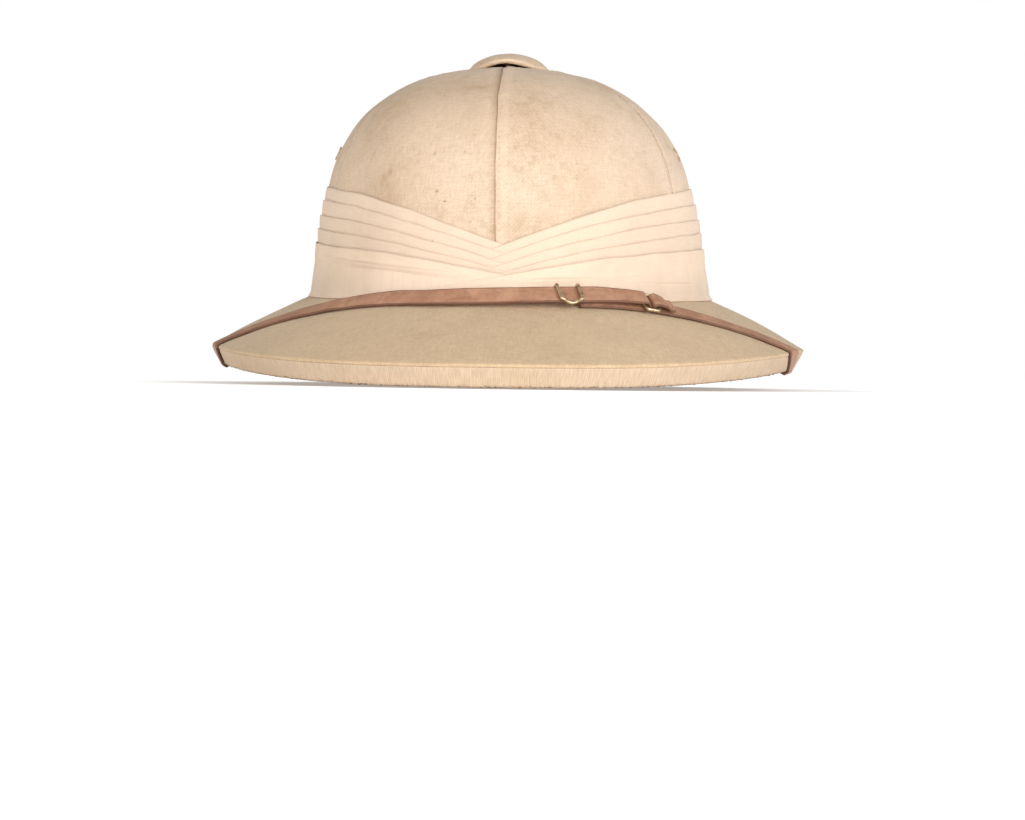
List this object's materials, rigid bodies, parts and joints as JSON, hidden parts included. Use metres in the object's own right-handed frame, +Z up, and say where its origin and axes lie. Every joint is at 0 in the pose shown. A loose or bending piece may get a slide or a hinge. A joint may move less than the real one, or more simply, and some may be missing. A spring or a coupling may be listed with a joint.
{
  "type": "pith helmet",
  "caption": "Pith sun helmet: domed crown in cloth gores, wide sloping brim, pleated puggaree, capped ventilator and a leather chin strap laid over the brim.",
  "frame": {"origin": "middle of the helmet's bounding box, on the surface that it rests on", "axes": "+Z up as it lies on a table on the front and rear of its rim, -Y towards the front, +X towards the wearer's left, where the strap's buckle and ring are"},
  "size_m": [0.2722, 0.3312, 0.1545],
  "materials": {
    "pith": "matt, pale and corky",
    "khaki_cloth": "matt twill, worn and stained",
    "lining_cloth": "matt plain weave",
    "puggaree_cloth": "matt fine weave",
    "brown_leather": "worn, low sheen",
    "tarnished_brass": "tarnished"
  },
  "bodies": {
    "root": {"pith_shell": "pith", "crown_panel_1": "khaki_cloth", "crown_panel_2": "khaki_cloth", "crown_panel_3": "khaki_cloth", "crown_panel_4": "khaki_cloth", "crown_panel_5": "khaki_cloth", "crown_panel_6": "khaki_cloth", "brim_top_cover": "khaki_cloth", "edge_binding": "khaki_cloth", "vent_cap": "khaki_cloth", "brim_lining": "lining_cloth", "puggaree_pleats": "puggaree_cloth", "puggaree_band": "puggaree_cloth", "eyelet_left": "khaki_cloth", "eyelet_right": "khaki_cloth", "chin_strap_long": "brown_leather", "chin_strap_short": "brown_leather", "vent_spool": "tarnished_brass", "slide_buckle": "tarnished_brass", "strap_ring": "tarnished_brass", "strap_hook_left": "tarnished_brass", "strap_hook_right": "tarnished_brass"}
  },
  "joints": []
}
